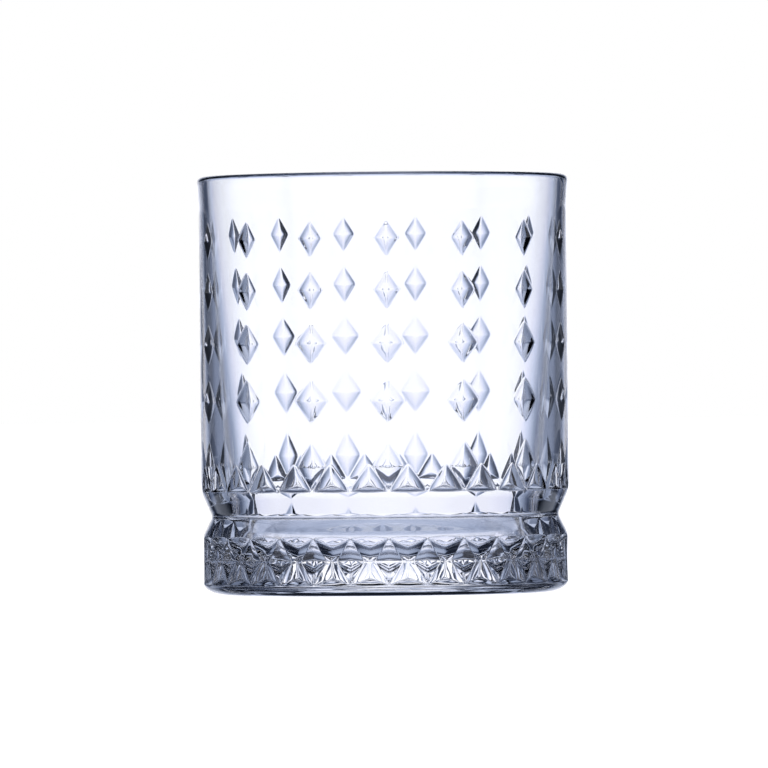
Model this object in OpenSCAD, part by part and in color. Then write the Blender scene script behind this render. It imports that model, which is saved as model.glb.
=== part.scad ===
// Pressed-glass whiskey tumbler: a straight bowl with columns of sunk diamonds, a pinched
// waist, a faceted foot and a solid base. The real tumbler is one piece of glass. It is
// drawn here as the five zones that the press mould shapes, which meet face to face.
// Origin: centre of the underside. +Z runs up the axis of the bowl. Millimetres.

/* [Overall] */
// Height from the table to the top of the lip
height = 95; // [90:0.5:105]
// Outer radius of the bowl
bowl_r = 41.9; // [40:0.1:44]
// Outer radius of the foot
foot_r = 41.6; // [40:0.1:44]

/* [Rim] */
// Thickness of the glass at the lip
lip_wall = 2.2; // [1.6:0.1:2.4]
// How far the lip stands out past the bowl
lip_flare = 0.35; // [0:0.05:0.6]
// Height of the plain band below the lip
rim_band = 8.5; // [7:0.5:10]

/* [Bowl] */
// Thickness of the wall just above the inside corner
lower_wall = 6.4; // [5.5:0.1:7]
// Height of the inside floor above the table, which is the thickness of the base
floor_z = 8; // [7.9:0.1:9]
// Radius of the inside corner between wall and floor
floor_corner = 5; // [3:0.5:5]

/* [Waist] */
// Height of the crease of the waist
crease_z = 17.8; // [17.2:0.1:18.6]
// Radius at the crease of the waist
crease_r = 39.4; // [38.5:0.1:40]
// Height at which the bowl starts above the waist
bowl_start_z = 23.4; // [23:0.1:24]
// Height of the shoulder of the foot
shoulder_z = 13.4; // [13:0.1:14]

/* [Diamonds] */
// Number of diamond columns round the bowl, the first of which faces -Y
columns = 15; // [12:1:15]
// Height of the middle of the top diamond
top_diamond_z = 80.2; // [79:0.1:80.5]
// Depth of the sunk diamonds
diamond_depth = 0.9; // [0.6:0.05:1.2]
// Half height of the long diamonds that end each column
long_half = 5.7; // [5:0.1:5.8]
// Half width of the long diamonds, in degrees round the bowl
long_half_deg = 4.6; // [4:0.1:5.2]
// Plain strip left between two neighbouring cuts
land = 0.5; // [0.4:0.05:0.8]

/* [Foot] */
// Height of the lower edge of the cut band
foot_band_z = 2.6; // [2.6:0.1:3.2]
// Height of the row of points where the cuts of the foot meet
foot_mid_z = 7.6; // [7.4:0.1:7.7]
// Half width of the whole diamonds of the foot, in degrees round it
foot_half_deg = 5.2; // [4.5:0.1:5.5]
// Depth of the cuts in the foot
foot_depth = 0.9; // [0.7:0.05:1.2]
// Height of the rounded heel
heel_rise = 2.9; // [2.2:0.1:3]
// Width of the rounded heel
heel_run = 5.2; // [4:0.1:5.6]
// Radius of the hollow under the base
punt_r = 33; // [30:0.5:34]
// Depth of the hollow under the base
punt_depth = 1.6; // [1:0.1:2.5]

/* [Hidden] */
$fn = 120;
glass_colour = [0.86, 0.89, 0.96, 0.45];
deep_glass_colour = [0.72, 0.77, 0.9, 0.55];

front = -90;
pitch = 360 / columns;
quarter = pitch / 4;
rim_z = height - rim_band;
lip_r = lip_wall / 2;
lip_outer_r = bowl_r + lip_flare;
lip_inner_r = lip_outer_r - lip_wall;
lip_mid_z = height - lip_r;

inner_lower_r = bowl_r - lower_wall;
corner_mid_r = inner_lower_r - floor_corner;
corner_mid_z = floor_z + floor_corner;
// The rings start just outside the foot of the inside corner, where the glass has some height
wall_root_r = corner_mid_r + 1;
crease_flat = 0.3;
punt_sphere_r = (punt_r * punt_r + punt_depth * punt_depth) / (2 * punt_depth);

// Half width in degrees and half height of the diamonds, from the top of a column down
diamond_sizes = [[3.5, 4.0], [3.8, 4.1], [4.8, 4.35], [5.2, 4.7]];
// How far the middle of each diamond lies below the middle of the top one
diamond_drops = [0, 11.6, 23.5, 36.4];
// The long diamonds end on the edge of the bowl, and half diamonds stand between them
long_z = bowl_start_z + long_half;
base_facet_h = 2;

land_deg = land / bowl_r * 180 / PI / 2;
// A cutter runs this many times the depth of its cut, so that it clears the wall
cut_reach = 1.6;

function on_wall(r, angle, z) = [r * cos(angle), r * sin(angle), z];

// A cut with flat facets that run from a deepest point to corners on the wall. The corners
// are [angle, z] pairs, clockwise as seen from outside.
module cut(r, deepest, corners, depth) {
    bottom = on_wall(r - depth, deepest[0], deepest[1]);
    tips = [for (c = corners) bottom + cut_reach * (on_wall(r, c[0], c[1]) - bottom)];
    n = len(tips);
    sides = [for (i = [1:n]) [0, i % n + 1, i]];
    caps = [for (i = [2:n - 1]) [1, i, i + 1]];
    polyhedron(points = concat([bottom], tips), faces = concat(sides, caps));
}

// A diamond that runs from low_z to high_z and is deepest and widest at z
module diamond_cut(r, low_z, z, high_z, half_deg, depth) {
    cut(r, [0, z], [[0, high_z], [half_deg, z], [0, low_z], [-half_deg, z]], depth);
}

// Half a diamond: a tip, a straight side at base_z and a short facet along that side
module half_diamond_cut(r, tip_z, base_z, half_deg, depth) {
    up = sign(tip_z - base_z);
    deepest = [0, base_z + up * base_facet_h];
    cut(r, deepest, [[0, tip_z], [up * half_deg, base_z], [-up * half_deg, base_z]], depth);
}

// The inside of the tumbler, from the axis to the wall
module cavity_outline() {
    polygon([
        [0, floor_z],
        [corner_mid_r, floor_z],
        [inner_lower_r, corner_mid_z],
        [lip_inner_r, lip_mid_z],
        [lip_inner_r, height + 1],
        [0, height + 1]
    ]);
    translate([corner_mid_r, corner_mid_z]) circle(r = floor_corner);
}

module rim() {
    color(glass_colour)
    rotate_extrude() {
        difference() {
            polygon([
                [wall_root_r, rim_z],
                [bowl_r, rim_z],
                [bowl_r, rim_z + 1.5],
                [lip_outer_r, lip_mid_z - 1],
                [lip_outer_r, lip_mid_z],
                [wall_root_r, lip_mid_z]
            ]);
            cavity_outline();
        }
        translate([lip_outer_r - lip_r, lip_mid_z]) circle(r = lip_r);
    }
}

module bowl_diamonds() {
    for (column = [0:columns - 1]) rotate([0, 0, front + column * pitch]) {
        for (row = [0:len(diamond_sizes) - 1]) {
            z = top_diamond_z - diamond_drops[row];
            half_h = diamond_sizes[row][1];
            diamond_cut(bowl_r, z - half_h, z, z + half_h, diamond_sizes[row][0], diamond_depth);
        }
        diamond_cut(bowl_r, bowl_start_z + land, long_z, long_z + long_half, long_half_deg,
                    diamond_depth);
        for (side = [-1, 1]) rotate([0, 0, side * quarter])
            half_diamond_cut(bowl_r, long_z - land, bowl_start_z + land, quarter - 2 * land_deg,
                             diamond_depth);
    }
}

module bowl() {
    color(glass_colour)
    difference() {
        rotate_extrude() difference() {
            polygon([
                [wall_root_r, bowl_start_z],
                [bowl_r, bowl_start_z],
                [bowl_r, rim_z],
                [wall_root_r, rim_z]
            ]);
            cavity_outline();
        }
        bowl_diamonds();
    }
}

module waist() {
    color(deep_glass_colour)
    rotate_extrude() difference() {
        polygon([
            [wall_root_r, shoulder_z],
            [foot_r, shoulder_z],
            [crease_r, crease_z - crease_flat],
            [crease_r, crease_z + crease_flat],
            [bowl_r, bowl_start_z],
            [wall_root_r, bowl_start_z]
        ]);
        cavity_outline();
    }
}

module foot_cuts() {
    top_z = shoulder_z - land / 2;
    half_deg = quarter - 2 * land_deg;
    for (i = [0:2 * columns - 1]) rotate([0, 0, front + i * pitch / 2]) {
        diamond_cut(foot_r, foot_band_z + land, foot_mid_z, top_z, foot_half_deg, foot_depth);
        rotate([0, 0, quarter]) {
            half_diamond_cut(foot_r, foot_mid_z + land, top_z, half_deg, foot_depth);
            half_diamond_cut(foot_r, foot_mid_z - land, foot_band_z + land / 2, half_deg,
                             foot_depth);
        }
    }
}

module foot() {
    color(deep_glass_colour)
    difference() {
        rotate_extrude() difference() {
            polygon([
                [wall_root_r, floor_z],
                [foot_r, floor_z],
                [foot_r, shoulder_z],
                [wall_root_r, shoulder_z]
            ]);
            cavity_outline();
        }
        foot_cuts();
    }
}

module base() {
    color(deep_glass_colour)
    difference() {
        rotate_extrude() difference() {
            union() {
                polygon([
                    [0, 0],
                    [foot_r - heel_run, 0],
                    [foot_r, heel_rise],
                    [foot_r, floor_z],
                    [0, floor_z]
                ]);
                translate([foot_r - heel_run, heel_rise])
                    scale([heel_run, heel_rise]) circle(r = 1);
            }
            translate([0, punt_depth - punt_sphere_r]) circle(r = punt_sphere_r);
        }
        foot_cuts();
    }
}

rim();
bowl();
waist();
foot();
base();
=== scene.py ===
"""Whiskey tumbler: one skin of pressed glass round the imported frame, in a bright-field studio."""

import math

import bmesh
import bpy
import numpy as np
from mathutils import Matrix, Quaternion, Vector
from mathutils.geometry import delaunay_2d_cdt


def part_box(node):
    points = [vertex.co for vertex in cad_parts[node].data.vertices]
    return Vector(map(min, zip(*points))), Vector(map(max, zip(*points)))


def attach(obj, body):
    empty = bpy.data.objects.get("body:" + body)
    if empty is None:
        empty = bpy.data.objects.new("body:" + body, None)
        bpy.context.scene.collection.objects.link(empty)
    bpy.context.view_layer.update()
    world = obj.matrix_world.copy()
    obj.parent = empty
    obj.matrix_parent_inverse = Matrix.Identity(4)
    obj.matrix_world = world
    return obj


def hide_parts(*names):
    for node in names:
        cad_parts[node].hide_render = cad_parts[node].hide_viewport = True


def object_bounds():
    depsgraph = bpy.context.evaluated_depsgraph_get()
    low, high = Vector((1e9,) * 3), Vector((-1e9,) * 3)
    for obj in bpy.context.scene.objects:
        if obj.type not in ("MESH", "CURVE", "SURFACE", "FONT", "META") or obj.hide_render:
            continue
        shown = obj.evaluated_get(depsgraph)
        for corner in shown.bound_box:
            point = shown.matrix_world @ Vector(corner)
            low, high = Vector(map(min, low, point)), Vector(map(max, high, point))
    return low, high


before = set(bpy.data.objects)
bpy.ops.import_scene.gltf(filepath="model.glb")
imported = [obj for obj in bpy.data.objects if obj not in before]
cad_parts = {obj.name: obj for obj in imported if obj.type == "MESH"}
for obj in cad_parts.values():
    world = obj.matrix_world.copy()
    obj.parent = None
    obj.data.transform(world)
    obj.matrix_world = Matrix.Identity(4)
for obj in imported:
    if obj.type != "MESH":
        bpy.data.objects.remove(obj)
cad_low, cad_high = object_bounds()

MM = 0.001

# ---------------------------------------------------------------- dimensions, in millimetres
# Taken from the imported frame
HEIGHT = cad_high.z / MM
BOWL_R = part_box("bowl")[1].x / MM
FOOT_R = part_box("foot")[1].x / MM
RIM_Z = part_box("rim")[0].z / MM
BOWL_START_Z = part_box("bowl")[0].z / MM
SHOULDER_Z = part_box("foot")[1].z / MM
FLOOR_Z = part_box("base")[1].z / MM

# The turned shape
LIP_WALL = 2.2
LIP_FLARE = 0.35
LOWER_WALL = 6.4
FLOOR_CORNER = 5.0
CREASE_Z = 17.8
CREASE_R = 39.4
HEEL_RISE = 2.9
HEEL_RUN = 5.2
PUNT_R = 33.0
PUNT_DEPTH = 1.6

# Columns of diamonds, in degrees round the bowl. The first faces the front
COLUMNS = 15
PITCH = 360 / COLUMNS
HALF_PITCH = PITCH / 2
QUARTER = PITCH / 4
FRONT = -90.0

# The cuts of the bowl. A pair in DIAMOND_HALVES is (half width in degrees, half height)
TOP_DIAMOND_Z = 80.2
DIAMOND_DROPS = (0.0, 11.6, 23.5, 36.4)
DIAMOND_HALVES = ((3.75, 4.15), (4.0, 4.35), (4.95, 4.6), (5.35, 4.95))
DIAMOND_DEPTH = 0.9
LONG_HALF = 5.7
LONG_HALF_DEG = 4.6
BASE_TIP_Z = 29.6
LONG_DEPTH = 0.95
HALF_DEPTH = 1.2
BASE_FACET_H = 1.6

# The cuts of the foot. FOOT_OVERLAP is how far its triangles reach past the middle line
FOOT_BAND_Z = 2.6
FOOT_MID_Z = 7.8
FOOT_TIP_Z = 13.1
FOOT_FULL_DEG = 5.2
FOOT_OVERLAP = 2.9
FOOT_DEPTH = 0.9
FOOT_HALF_DEPTH = 1.05
UPPER_FACET_H = 2.1
LOWER_FACET_H = 1.5

# Rounding of edges: how far apart two surfaces may be, in depth, where they start to blend
RIDGE_BLEND = 0.13
VALLEY_BLEND = 0.16
# How hollow the facets are: 1 is flat, more is steeper at the edge and flatter in the middle
HOLLOW = 1.6
WAIST_BLEND = 0.7
CREASE_BLEND = 0.6

# How closely the borders of the cuts are searched for and followed
BISECTIONS = 28
BORDER_STEP = 0.6
TIP_POINTS = 24
BASE_POINTS = 13
NECK_POINTS = 9
NECK_REACH = 1.6
NECK_SEARCH = 2
BESIDE = 0.06


# ---------------------------------------------------------------- the outside as a depth field
def blend_min(a, b, k):
    """The smaller of two surfaces, rounded where they are within k of each other."""
    h = np.maximum(k - np.abs(a - b), 0) / k
    return np.minimum(a, b) - h * h * k / 4


def blend_max(a, b, k):
    """The larger of two surfaces, rounded where they are within k of each other."""
    return -blend_min(-a, -b, k)


def plain_radius(z):
    """Outer radius of the uncut tumbler at height z, from the heel to the rim band."""
    body = np.where(z < CREASE_Z, FOOT_R, BOWL_R)
    above = CREASE_R + (z - CREASE_Z) * (BOWL_R - CREASE_R) / (BOWL_START_Z - CREASE_Z)
    below = CREASE_R + (CREASE_Z - z) * (FOOT_R - CREASE_R) / (CREASE_Z - SHOULDER_Z)
    waist = blend_max(above, below, CREASE_BLEND)
    heel = np.clip((HEEL_RISE - z) / HEEL_RISE, 0, 1)
    return blend_min(body, waist, WAIST_BLEND) - HEEL_RUN * (1 - np.sqrt(1 - heel * heel))


def wall_point(r, degrees, z):
    """The point (x, y, z) at radius r and an angle from +X."""
    a = math.radians(degrees)
    return np.array((r * math.cos(a), r * math.sin(a), z))


class Cut:
    """A sunk cut: facets run from its deepest point to corners on the wall, hollow in the middle.

    The corners are (degrees, z) pairs, with the degrees counted from the centre of the cut.
    """

    def __init__(self, centre, r, deepest_z, depth, corners):
        self.centre = centre
        self.corners = corners
        self.deepest_z = deepest_z
        self.depth = depth
        bottom = wall_point(r - depth, 0, deepest_z)
        ring = [wall_point(r, a, z) for a, z in corners]
        self.planes = []
        for p, q in zip(ring, ring[1:] + ring[:1]):
            n = np.cross(p - bottom, q - bottom)
            n = n * np.sign(n[0])
            self.planes.append((n, float(n @ bottom)))

    def facet(self, i, degrees, z):
        """Radius of the plane of facet i."""
        n, c = self.planes[i]
        a = np.radians(degrees - self.centre)
        return (c - n[2] * z) / np.maximum(n[0] * np.cos(a) + n[1] * np.sin(a), 1e-6)

    def radius(self, degrees, z):
        """Radius of the whole cut, with rounded valleys. Outside its borders it lies past the wall."""
        out = self.facet(0, degrees, z)
        for i in range(1, len(self.planes)):
            out = blend_max(out, self.facet(i, degrees, z), VALLEY_BLEND)
        wall = plain_radius(z)
        sunk = wall - out
        edge = np.clip(1 - sunk / self.depth, 0, 1)
        hollow = self.depth * (1 - edge ** HOLLOW)
        return wall - np.where(sunk > 0, hollow, sunk * HOLLOW)


def diamond(centre, r, z, half_deg, up, down, depth):
    """A diamond that is widest and deepest at z."""
    return Cut(centre, r, z, depth, [(0, z + up), (half_deg, z), (0, z - down), (-half_deg, z)])


def half_diamond(centre, r, tip_z, base_z, facet_h, depth):
    """A triangle with its tip at tip_z, and a short facet along its straight side at base_z."""
    up = 1 if tip_z > base_z else -1
    corners = [(0, tip_z), (up * QUARTER, base_z), (-up * QUARTER, base_z)]
    return Cut(centre, r, base_z + up * facet_h, depth, corners)


def between_columns(tip_z, base_z, facet_h, depth, r):
    """The half diamonds in and on both sides of the first wedge."""
    centres = (-QUARTER, QUARTER, 3 * QUARTER)
    return [half_diamond(c, r, tip_z, base_z, facet_h, depth) for c in centres]


LONG_Z = BOWL_START_Z + LONG_HALF
DIAMONDS = [diamond(0, BOWL_R, TOP_DIAMOND_Z - drop, half_deg, half_h, half_h, DIAMOND_DEPTH)
            for drop, (half_deg, half_h) in zip(DIAMOND_DROPS, DIAMOND_HALVES)]
DIAMONDS.append(diamond(0, BOWL_R, LONG_Z, LONG_HALF_DEG, LONG_HALF, LONG_HALF, LONG_DEPTH))
for centre in (0, HALF_PITCH):
    DIAMONDS.append(diamond(centre, FOOT_R, FOOT_MID_Z, FOOT_FULL_DEG, FOOT_TIP_Z - FOOT_MID_Z,
                            FOOT_MID_Z - FOOT_BAND_Z, FOOT_DEPTH))
BASE_HALVES = between_columns(BASE_TIP_Z, BOWL_START_Z, BASE_FACET_H, HALF_DEPTH, BOWL_R)
UPPER_HALVES = between_columns(FOOT_MID_Z - FOOT_OVERLAP, FOOT_TIP_Z, UPPER_FACET_H,
                               FOOT_HALF_DEPTH, FOOT_R)
LOWER_HALVES = between_columns(FOOT_MID_Z + FOOT_OVERLAP, FOOT_BAND_Z, LOWER_FACET_H,
                               FOOT_HALF_DEPTH, FOOT_R)
CUTS = DIAMONDS + BASE_HALVES + UPPER_HALVES + LOWER_HALVES


def cut_radius(degrees, z):
    """Outer radius of the cut tumbler, from the heel to the rim band."""
    r = plain_radius(z)
    for cut in CUTS:
        r = blend_min(r, cut.radius(degrees, z), RIDGE_BLEND)
    return r


def halfway(low, high, inside):
    """Bisects between arrays low, where inside() holds, and high, where it doesn't."""
    for _ in range(BISECTIONS):
        middle = (low + high) / 2
        keep = inside(middle)
        low = np.where(keep, middle, low)
        high = np.where(keep, high, middle)
    return (low + high) / 2


def deepest(cut, degrees, z):
    """Whether a cut lies deeper than the wall and every other cut."""
    others = plain_radius(z)
    for other in CUTS:
        if other is not cut:
            others = np.minimum(others, other.radius(degrees, z))
    return cut.radius(degrees, z) < others


def side_border(cut, side):
    """The ridge on one side of a diamond, against the wall or whatever cut lies next to it."""
    top, bottom = cut.corners[0][1], cut.corners[2][1]
    z = np.linspace(bottom, top, max(9, math.ceil((top - bottom) / BORDER_STEP)))[1:-1]
    centre = np.full_like(z, cut.centre)
    a = halfway(centre, centre + side * QUARTER, lambda a: deepest(cut, a, z))
    return [(cut.centre, bottom)] + list(zip(a, z)) + [(cut.centre, top)]


def tip_borders(cut):
    """Both sides of the pointed end of a half diamond, as far down as bare wall lies beside it."""
    z = np.linspace(cut.corners[0][1], cut.corners[1][1], TIP_POINTS)[1:-1]
    centre = np.full_like(z, cut.centre)
    lines = []
    for side in (-1, 1):
        a = halfway(centre, centre + side * QUARTER, lambda a: deepest(cut, a, z))
        beside = a + side * BESIDE
        others = np.min([other.radius(beside, z) for other in CUTS if other is not cut], axis=0)
        bare = others > plain_radius(z)
        last = len(z) if bare.all() else int(np.argmin(bare))
        lines.append([(cut.centre, cut.corners[0][1])] + list(zip(a, z))[:last])
    return lines


def base_border(cut):
    """The flat side of a half diamond, against the wall."""
    out = []
    for a in np.linspace(-QUARTER, QUARTER, BASE_POINTS):
        out.append((cut.centre + a, on_edge(cut, 1, cut.centre + a, cut.corners[1][1])))
    return out


def neck_border(upper, lower):
    """Where the upper and the lower half diamond of the foot meet."""
    a = np.linspace(QUARTER - NECK_REACH, QUARTER + NECK_REACH, NECK_POINTS)
    low, high = np.full_like(a, FOOT_MID_Z + NECK_SEARCH), np.full_like(a, FOOT_MID_Z - NECK_SEARCH)
    z = halfway(low, high, lambda z: upper.radius(a, z) < lower.radius(a, z))
    return list(zip(a, z))


# ---------------------------------------------------------------- a wedge of the outside, as triangles
# Longest edge along a ridge or valley, and how far from it the rows beside it lie
STEP = 1.0
STRIPS = (0.0, 0.17, -0.17, 0.4, -0.4)
SIDE_STEP = 1.5
WEDGE_LOW_Z = 1.5
RING_PER_WEDGE = 8
# Width of one degree on the wall
DEG = math.radians(1) * BOWL_R
# Lines closer than CROSSING_GAP meet, points closer than MERGE become one, and triangles
# smaller than SLIVER_AREA are dropped
CROSSING_GAP = 0.03
MERGE = 0.004
SLIVER_AREA = 2e-5
# Cross lines that follow the turned shape between the cuts
HEEL_ROW_Z = 1.9
WAIST_ROWS_FROM = 13.7
WAIST_ROW_GAP = 0.2
WAIST_ROW_STEP = 0.5
BOWL_ROW_STEP = 2.0


def polyline(points, step=STEP):
    """Points along straight stretches, in wall millimetres, no further than step apart."""
    out = [points[0]]
    for p, q in zip(points, points[1:]):
        n = max(1, math.ceil(math.dist(p, q) / step))
        out += [tuple(np.array(p) + (np.array(q) - np.array(p)) * i / n) for i in range(1, n + 1)]
    return out


def on_edge(cut, i, degrees, z):
    """Moves a point up or down to where facet i really meets the uncut wall."""
    for _ in range(6):
        miss = cut.facet(i, degrees, z) - plain_radius(z)
        slope = (cut.facet(i, degrees, z + 0.01) - plain_radius(z + 0.01) - miss) / 0.01
        if abs(slope) < 0.05:
            break
        z -= float(np.clip(miss / slope, -0.3, 0.3))
    return z


def feature_lines():
    """The ridges and valleys of the cuts, as (degrees, z) lines inside the wedge."""
    lines = [neck_border(UPPER_HALVES[1], LOWER_HALVES[1])]
    for cut in CUTS:
        if 0 <= cut.centre <= HALF_PITCH:
            for a, z in cut.corners:
                lines.append([(cut.centre, cut.deepest_z), (cut.centre + a, z)])
    for cut in DIAMONDS:
        lines.append(side_border(cut, 1 if cut.centre < QUARTER else -1))
    for halves in (BASE_HALVES, UPPER_HALVES, LOWER_HALVES):
        lines.append(base_border(halves[1]))
    return lines + tip_borders(BASE_HALVES[1])


def clipped(p, q, low, high):
    """The part of the stretch from p to q inside a rectangle, or None."""
    t0, t1 = 0.0, 1.0
    for i in (0, 1):
        d = q[i] - p[i]
        for edge, sign in ((low[i], 1), (high[i], -1)):
            gap = sign * (p[i] - edge)
            rate = sign * d
            if abs(rate) < 1e-12:
                if gap < 0:
                    return None
            elif rate > 0:
                t0 = max(t0, -gap / rate)
            else:
                t1 = min(t1, -gap / rate)
    if t1 - t0 < 1e-6:
        return None
    return [tuple(p[k] + (q[k] - p[k]) * t for k in (0, 1)) for t in (t0, t1)]


def wedge_mesh():
    """Triangles over one half pitch of the wall: points as (degrees, z), and faces."""
    low, high = (0.0, WEDGE_LOW_Z), (HALF_PITCH * DEG, RIM_Z)
    points, edges = [], []

    def add(line):
        start = len(points)
        points.extend(Vector(p) for p in line)
        edges.extend((start + i, start + i + 1) for i in range(len(line) - 1))

    ring = [high[0] * i / RING_PER_WEDGE for i in range(RING_PER_WEDGE + 1)]
    add([(u, low[1]) for u in ring])
    add([(u, high[1]) for u in ring])
    for u in (low[0], high[0]):
        add(polyline([(u, low[1]), (u, high[1])], SIDE_STEP))
    for line in feature_lines():
        pts = np.array(polyline([(a * DEG, z) for a, z in line]))
        along = np.gradient(pts, axis=0)
        along /= np.maximum(np.linalg.norm(along, axis=1)[:, None], 1e-9)
        across = np.stack((-along[:, 1], along[:, 0]), axis=1)
        for strip in STRIPS:
            moved = pts + across * strip
            for p, q in zip(moved, moved[1:]):
                piece = clipped(tuple(p), tuple(q), low, high)
                if piece:
                    add(piece)
    for z in plain_rows():
        add([(u, z) for u in ring])
    result = delaunay_2d_cdt(points, edges, [], 0, CROSSING_GAP)
    flat = np.array([tuple(v) for v in result[0]])
    for edge in (low[0], high[0]):
        flat[np.abs(flat[:, 0] - edge) < MERGE, 0] = edge
    faces = [tuple(f) for f in result[2] if triangle_area(flat[list(f)]) > SLIVER_AREA]
    return flat[:, 0] / DEG, flat[:, 1], faces


def triangle_area(p):
    """Area of a triangle of three (x, y) points."""
    (x0, y0), (x1, y1), (x2, y2) = p
    return abs((x1 - x0) * (y2 - y0) - (x2 - x0) * (y1 - y0)) / 2


def plain_rows():
    """Heights of the cross lines."""
    waist = np.arange(WAIST_ROWS_FROM, BOWL_START_Z - WAIST_ROW_GAP, WAIST_ROW_STEP)
    bowl = np.arange(BOWL_START_Z + LONG_HALF * 2, RIM_Z, BOWL_ROW_STEP)
    return [HEEL_ROW_Z, *waist, *bowl]


def outside_normals(degrees, z):
    """Radius of the cut wall and its unit normal (outwards, round, up), by small differences."""
    h = 0.004
    r = cut_radius(degrees, z)
    turn = np.degrees(h / r)
    dr_turn = (cut_radius(degrees + turn, z) - cut_radius(degrees - turn, z)) / (2 * h)
    dr_up = (cut_radius(degrees, z + h) - cut_radius(degrees, z - h)) / (2 * h)
    n = np.stack((np.ones_like(r), -dr_turn, -dr_up), axis=1)
    return r, n / np.linalg.norm(n, axis=1)[:, None]


# ---------------------------------------------------------------- turned surfaces
# Steps along each stretch of the profiles, and the upright stretch just under the lip
FLARE_STEPS = 11
LIP_STEPS = 10
WALL_STEPS = 8
CORNER_STEPS = 14
FLOOR_STEPS = 5
HEEL_STEPS = 12
PUNT_STEPS = 9
LIP_UPRIGHT = 0.3


def arc(centre, radius, start, end, n):
    """Points on an arc, leaving out the first. Angles in degrees; radius may be a pair."""
    rx, rz = radius if isinstance(radius, tuple) else (radius, radius)
    angles = np.radians(np.linspace(start, end, n + 1)[1:])
    return [(centre[0] + rx * math.cos(a), centre[1] + rz * math.sin(a)) for a in angles]


def straight(p, q, n):
    """Points on a straight line, leaving out the first."""
    return [(p[0] + (q[0] - p[0]) * i / n, p[1] + (q[1] - p[1]) * i / n) for i in range(1, n + 1)]


def lip_and_cavity():
    """The profile from the top of the cut wall, over the lip and down to the middle of the floor."""
    lip_r = LIP_WALL / 2
    lip_z = HEIGHT - lip_r
    outer = BOWL_R + LIP_FLARE
    flare_z = lip_z - LIP_UPRIGHT
    line = [(BOWL_R, RIM_Z)]
    for t in np.linspace(0, 1, FLARE_STEPS + 1)[1:]:
        ease = t * t * (3 - 2 * t)
        line.append((BOWL_R + LIP_FLARE * ease, RIM_Z + (flare_z - RIM_Z) * t))
    line += straight((outer, flare_z), (outer, lip_z), 2)
    line += arc((outer - lip_r, lip_z), lip_r, 0, 180, LIP_STEPS)
    corner_z = FLOOR_Z + FLOOR_CORNER
    for z in np.linspace(lip_z, corner_z, WALL_STEPS + 1)[1:]:
        line.append((inner_radius(z), z))
    corner_r = inner_radius(corner_z) - FLOOR_CORNER
    line += arc((corner_r, corner_z), FLOOR_CORNER, 0, -90, CORNER_STEPS)
    line += straight((corner_r, FLOOR_Z), (0, FLOOR_Z), FLOOR_STEPS)
    return line


def inner_radius(z):
    """Inner radius of the wall at height z: an even draft from the floor corner up to the lip."""
    lip_z = HEIGHT - LIP_WALL / 2
    corner_z = FLOOR_Z + FLOOR_CORNER
    up = (z - corner_z) / (lip_z - corner_z)
    return BOWL_R - LOWER_WALL + (LOWER_WALL + LIP_FLARE - LIP_WALL) * up


def underside():
    """The profile from the bottom of the cut wall, round the heel and in to the middle."""
    start = math.degrees(math.asin((WEDGE_LOW_Z - HEEL_RISE) / HEEL_RISE))
    ring_r = FOOT_R - HEEL_RUN
    line = [(float(plain_radius(np.array(WEDGE_LOW_Z))), WEDGE_LOW_Z)]
    line += arc((ring_r, HEEL_RISE), (HEEL_RUN, HEEL_RISE), start, -90, HEEL_STEPS)
    line += straight((ring_r, 0), (PUNT_R, 0), 2)
    for t in np.linspace(0, 1, PUNT_STEPS + 1)[1:]:
        r = PUNT_R * (1 - t)
        line.append((r, PUNT_DEPTH * (1 - (r / PUNT_R) ** 2)))
    return line


def turned(line, flip):
    """Points, normals and faces of a profile turned about the axis. The last point is on the axis."""
    n = RING_PER_WEDGE * 2 * COLUMNS
    angles = np.radians(FRONT) + 2 * math.pi * np.arange(n) / n
    prof = np.array(line)
    tangent = np.gradient(prof, axis=0)
    normal = np.stack((-tangent[:, 1], tangent[:, 0]), axis=1) * (-1 if flip else 1)
    normal /= np.linalg.norm(normal, axis=1)[:, None]
    c, s = np.cos(angles), np.sin(angles)
    points, normals, faces = [], [], []
    for (r, z), (nr, nz) in zip(prof[:-1], normal[:-1]):
        points += list(zip(r * c, r * s, np.full(n, z)))
        normals += list(zip(nr * c, nr * s, np.full(n, nz)))
    points.append((0.0, 0.0, prof[-1][1]))
    normals.append((0.0, 0.0, math.copysign(1.0, normal[-1][1])))
    rings = len(prof) - 1
    for k in range(rings - 1):
        for i in range(n):
            j = (i + 1) % n
            quad = (k * n + i, k * n + j, (k + 1) * n + j, (k + 1) * n + i)
            faces.append(quad[::-1] if flip else quad)
    for i in range(n):
        tri = ((rings - 1) * n + i, (rings - 1) * n + (i + 1) % n, rings * n)
        faces.append(tri[::-1] if flip else tri)
    return points, normals, faces


# ---------------------------------------------------------------- the glass skin
def glass_parts():
    """Points, normals and faces of the whole skin, still in separate patches."""
    degrees, z, wedge_faces = wedge_mesh()
    r, n = outside_normals(degrees, z)
    points, normals, faces = [], [], []
    for k in range(2 * COLUMNS):
        mirrored = k % 2 == 1
        sign = -1 if mirrored else 1
        turn = FRONT + (k // 2) * PITCH + (PITCH if mirrored else 0)
        a = np.radians(turn + sign * degrees)
        c, s = np.cos(a), np.sin(a)
        start = len(points)
        points += list(zip(r * c, r * s, z))
        nr, nt, nz = n[:, 0], sign * n[:, 1], n[:, 2]
        normals += list(zip(nr * c - nt * s, nr * s + nt * c, nz))
        for f in wedge_faces:
            f = tuple(start + v for v in f)
            faces.append(f[::-1] if mirrored else f)
    for line, flip in ((lip_and_cavity(), False), (underside(), True)):
        p, m, f = turned(line, flip)
        start = len(points)
        points += p
        normals += m
        faces += [tuple(start + v for v in face) for face in f]
    return points, normals, faces


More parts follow.
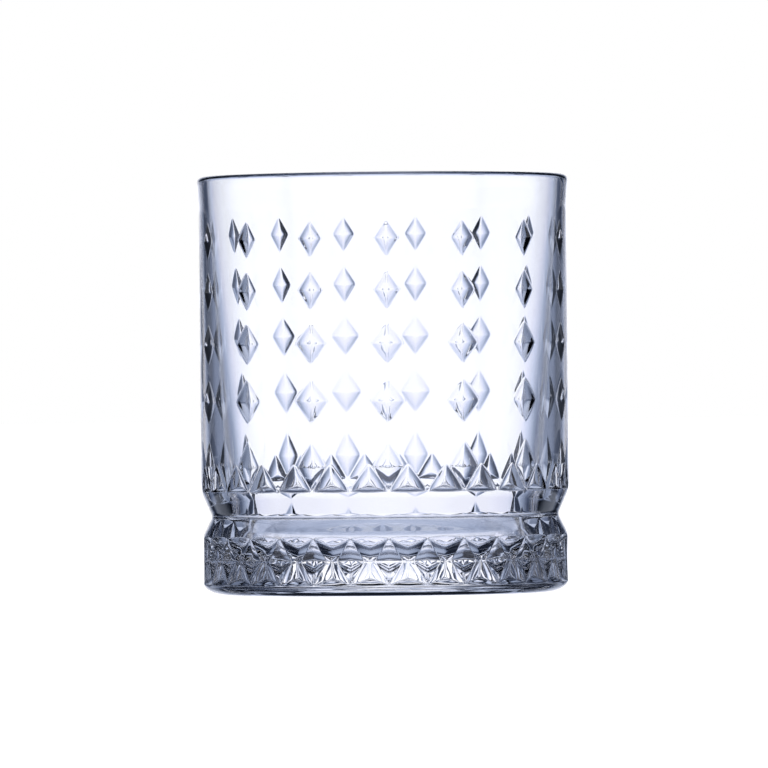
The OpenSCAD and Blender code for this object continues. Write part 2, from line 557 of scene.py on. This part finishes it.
def glass_skin():
    """The skin as one closed mesh, with the exact normals of the cut wall and the turned profiles."""
    points, normals, faces = glass_parts()
    mesh = bpy.data.meshes.new("tumbler_glass")
    mesh.from_pydata([tuple(c * MM for c in p) for p in points], [], faces)
    bm = bmesh.new()
    bm.from_mesh(mesh)
    layer = bm.verts.layers.float_vector.new("smooth_normal")
    bm.verts.ensure_lookup_table()
    for v, n in zip(bm.verts, normals):
        v[layer] = Vector(n)
    bmesh.ops.remove_doubles(bm, verts=bm.verts, dist=MERGE * MM)
    bmesh.ops.recalc_face_normals(bm, faces=bm.faces)
    bm.normal_update()
    keep = [tuple(v[layer] if v[layer].dot(v.normal) > 0 else -v[layer]) for v in bm.verts]
    bm.verts.layers.float_vector.remove(layer)
    bm.to_mesh(mesh)
    bm.free()
    mesh.polygons.foreach_set("use_smooth", [True] * len(mesh.polygons))
    mesh.normals_split_custom_set_from_vertices(keep)
    obj = bpy.data.objects.new("tumbler_glass", mesh)
    bpy.context.collection.objects.link(obj)
    return obj


# ---------------------------------------------------------------- materials
def node_material(name):
    """A new material with its nodes and links."""
    mat = bpy.data.materials.new(name)
    mat.use_nodes = True
    return mat, mat.node_tree.nodes, mat.node_tree.links


# Ripples per metre, how much slower they run up than across, and their depth
RIPPLE_SCALE = 48.0
RIPPLE_STRETCH = 0.35
RIPPLE_DEPTH = 0.12 * MM
RIPPLE_DETAIL = 1.5
RIPPLE_ROUGHNESS = 0.35
# The faint blue of the glass, which varies a little with the ripples
BLUER_GLASS = (0.92, 0.932, 0.97, 1)
CLEARER_GLASS = (0.955, 0.962, 0.985, 1)
GLASS_IOR = 1.52


def pressed_glass():
    """Clear, faintly blue glass. Slow ripples from the mould run mostly up and down."""
    mat, nodes, links = node_material("pressed_glass")
    shader = nodes["Principled BSDF"]
    shader.inputs["Transmission Weight"].default_value = 1
    shader.inputs["IOR"].default_value = GLASS_IOR
    shader.inputs["Roughness"].default_value = 0.0
    coords = nodes.new("ShaderNodeTexCoord")
    stretch = nodes.new("ShaderNodeMapping")
    stretch.inputs["Scale"].default_value = (1, 1, RIPPLE_STRETCH)
    links.new(coords.outputs["Object"], stretch.inputs["Vector"])
    ripple = nodes.new("ShaderNodeTexNoise")
    ripple.inputs["Scale"].default_value = RIPPLE_SCALE
    ripple.inputs["Detail"].default_value = RIPPLE_DETAIL
    ripple.inputs["Roughness"].default_value = RIPPLE_ROUGHNESS
    links.new(stretch.outputs["Vector"], ripple.inputs["Vector"])
    bump = nodes.new("ShaderNodeBump")
    bump.inputs["Strength"].default_value = 1.0
    bump.inputs["Distance"].default_value = RIPPLE_DEPTH
    links.new(ripple.outputs["Fac"], bump.inputs["Height"])
    links.new(bump.outputs["Normal"], shader.inputs["Normal"])
    tint = nodes.new("ShaderNodeValToRGB")
    tint.color_ramp.elements[0].color = BLUER_GLASS
    tint.color_ramp.elements[1].color = CLEARER_GLASS
    links.new(ripple.outputs["Fac"], tint.inputs["Fac"])
    links.new(tint.outputs["Color"], shader.inputs["Base Color"])
    return mat


def floor_material():
    """A white sweep that is bright enough to merge with the backdrop."""
    mat, nodes, _ = node_material("white_sweep")
    shader = nodes["Principled BSDF"]
    shader.inputs["Base Color"].default_value = (0.9, 0.9, 0.9, 1)
    shader.inputs["Roughness"].default_value = 0.8
    shader.inputs["Emission Color"].default_value = (1, 1, 1, 1)
    shader.inputs["Emission Strength"].default_value = 1.0
    return mat


# ---------------------------------------------------------------- studio
FLOOR_SIZE = 60.0
FLOOR_GAP = 0.2 * MM


def floor():
    """The plain sweep. The glass shows the light of the studio instead of it."""
    bpy.ops.mesh.primitive_plane_add(size=FLOOR_SIZE, location=(0, 0, -FLOOR_GAP))
    plane = bpy.context.object
    plane.name = "floor"
    plane.data.materials.append(floor_material())
    plane.visible_transmission = False
    plane.visible_glossy = False


# Brightness of the studio seen through the glass, as (direction, brightness) pairs along one
# axis each. The backdrop is bright in the middle and falls off to dark flags at both sides
ACROSS = ((0.0, 1.0), (0.13, 1.0), (0.2, 0.9), (0.25, 0.68), (0.3, 0.36), (0.35, 0.1), (0.4, 0.03),
          (0.5, 0.03), (0.6, 0.16), (0.8, 0.25), (1.0, 0.2))
UP = ((-1.0, 0.10), (-0.6, 0.04), (-0.46, 0.05), (-0.38, 0.22), (-0.27, 0.58), (-0.18, 0.8), (-0.08, 1.0),
      (0.1, 1.0), (0.25, 0.8), (0.4, 0.5), (0.6, 0.5), (1.0, 0.9))
AWAY = ((-1.0, 0.2), (-0.1, 0.2), (0.15, 1.0), (1.0, 1.0))
# Light from the white table on every side, from behind the front camera and from both sides
TABLE = ((-1.0, 0.4), (-0.87, 0.22), (-0.82, 0.0), (-0.38, 0.0), (-0.33, 0.45), (-0.24, 0.55),
         (-0.19, 0.0), (1.0, 0.0))
BEHIND = ((-1.0, 0.8), (-0.52, 0.8), (-0.42, 0.0), (1.0, 0.0))
BEHIND_UP = ((-1.0, 1.0), (-0.01, 1.0), (0.03, 0.0), (1.0, 0.0))
SIDES = ((0.0, 0.0), (0.85, 0.0), (0.95, 0.75), (1.0, 0.75))
SIDES_UP = ((-1.0, 0.0), (-0.5, 0.0), (-0.3, 1.0), (-0.02, 1.0), (0.05, 0.0), (1.0, 0.0))
# Colour of the light at each brightness: navy, slate, lavender, white
TINTS = ((0.0, (0.0, 0.001, 0.005)), (0.1, (0.08, 0.1, 0.16)), (0.35, (0.3, 0.35, 0.47)),
         (0.65, (0.6, 0.65, 0.8)), (0.85, (0.85, 0.85, 0.95)), (1.0, (1.0, 1.0, 1.0)))
# The light gains this much, because the tinted glass takes some of it away
GLASS_GAIN = 1.25


def ramp(nodes, links, value, stops):
    """A colour ramp through the stops. Values from -1 to 1 are first moved to 0 to 1."""
    if stops[0][0] < 0:
        half = nodes.new("ShaderNodeMath")
        half.operation = "MULTIPLY_ADD"
        half.inputs[1].default_value = 0.5
        half.inputs[2].default_value = 0.5
        links.new(value, half.inputs[0])
        value = half.outputs[0]
        stops = [((p + 1) / 2, c) for p, c in stops]
    node = nodes.new("ShaderNodeValToRGB")
    links.new(value, node.inputs[0])
    elements = node.color_ramp.elements
    while len(elements) < len(stops):
        elements.new(0.5)
    for element, (position, colour) in zip(elements, stops):
        element.position = position
        element.color = (*colour, 1) if isinstance(colour, tuple) else (colour, colour, colour, 1)
    return node.outputs["Color"]


def math_node(nodes, links, kind, a, b):
    """A math node on two values, each a number or a socket."""
    node = nodes.new("ShaderNodeMath")
    node.operation = kind
    for socket, value in zip(node.inputs, (a, b)):
        if isinstance(value, (int, float)):
            socket.default_value = value
        else:
            links.new(value, socket)
    return node.outputs[0]


def studio_world():
    """White to the camera. The glass sees the directions above, tinted by their brightness."""
    world = bpy.data.worlds.new("bright_field")
    bpy.context.scene.world = world
    world.use_nodes = True
    nodes, links = world.node_tree.nodes, world.node_tree.links
    background = nodes["Background"]
    coords = nodes.new("ShaderNodeTexCoord")
    split = nodes.new("ShaderNodeSeparateXYZ")
    links.new(coords.outputs["Generated"], split.inputs[0])
    side = math_node(nodes, links, "ABSOLUTE", split.outputs["X"], 0)
    light = ramp(nodes, links, side, ACROSS)
    light = math_node(nodes, links, "MULTIPLY", light, ramp(nodes, links, split.outputs["Z"], UP))
    light = math_node(nodes, links, "MULTIPLY", light, ramp(nodes, links, split.outputs["Y"], AWAY))
    light = math_node(nodes, links, "MAXIMUM", light, ramp(nodes, links, split.outputs["Z"], TABLE))
    edge = math_node(nodes, links, "MULTIPLY", ramp(nodes, links, side, SIDES),
                     ramp(nodes, links, split.outputs["Z"], SIDES_UP))
    light = math_node(nodes, links, "MAXIMUM", light, edge)
    behind = math_node(nodes, links, "MULTIPLY", ramp(nodes, links, split.outputs["Y"], BEHIND),
                       ramp(nodes, links, split.outputs["Z"], BEHIND_UP))
    light = math_node(nodes, links, "MAXIMUM", light, behind)
    path = nodes.new("ShaderNodeLightPath")
    mix = nodes.new("ShaderNodeMix")
    mix.data_type = "RGBA"
    links.new(path.outputs["Is Camera Ray"], mix.inputs["Factor"])
    gain = nodes.new("ShaderNodeVectorMath")
    gain.operation = "SCALE"
    gain.inputs["Scale"].default_value = GLASS_GAIN
    links.new(ramp(nodes, links, light, TINTS), gain.inputs[0])
    links.new(gain.outputs[0], mix.inputs["A"])
    mix.inputs["B"].default_value = (1, 1, 1, 1)
    links.new(mix.outputs["Result"], background.inputs["Color"])
    background.inputs["Strength"].default_value = 1.0


# COLUMN_TURN is how far, in degrees, the camera stands to the left of the first column.
# PICTURE_WIDTH is what the picture takes in at the distance of the tumbler
CAMERA_DISTANCE = 2200 * MM
CAMERA_HEIGHT = 42 * MM
AIM_HEIGHT = 47.6 * MM
COLUMN_TURN = 1.07
ROLL = 0.55
PICTURE_WIDTH = 174.82 * MM
SENSOR_WIDTH = 36
CLIP_START = 0.1
CLIP_END = 50


def camera():
    """A long lens almost level with the middle of the glass, turned and rolled a little."""
    data = bpy.data.cameras.new("camera")
    data.sensor_width = SENSOR_WIDTH
    data.lens = SENSOR_WIDTH * CAMERA_DISTANCE / PICTURE_WIDTH
    data.clip_start = CLIP_START
    data.clip_end = CLIP_END
    cam = bpy.data.objects.new("camera", data)
    bpy.context.collection.objects.link(cam)
    a = math.radians(-COLUMN_TURN)
    cam.location = (math.sin(a) * CAMERA_DISTANCE, -math.cos(a) * CAMERA_DISTANCE, CAMERA_HEIGHT)
    look = Vector((0, 0, AIM_HEIGHT)) - cam.location
    turn = look.to_track_quat("-Z", "Y")
    cam.rotation_mode = "QUATERNION"
    cam.rotation_quaternion = turn @ Quaternion((0, 0, 1), math.radians(-ROLL))
    bpy.context.scene.camera = cam


glass = glass_skin()
glass.data.materials.append(pressed_glass())
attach(glass, "root")
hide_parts("rim", "bowl", "waist", "foot", "base")
floor()
studio_world()
camera()
bpy.context.scene.view_settings.view_transform = "Standard"
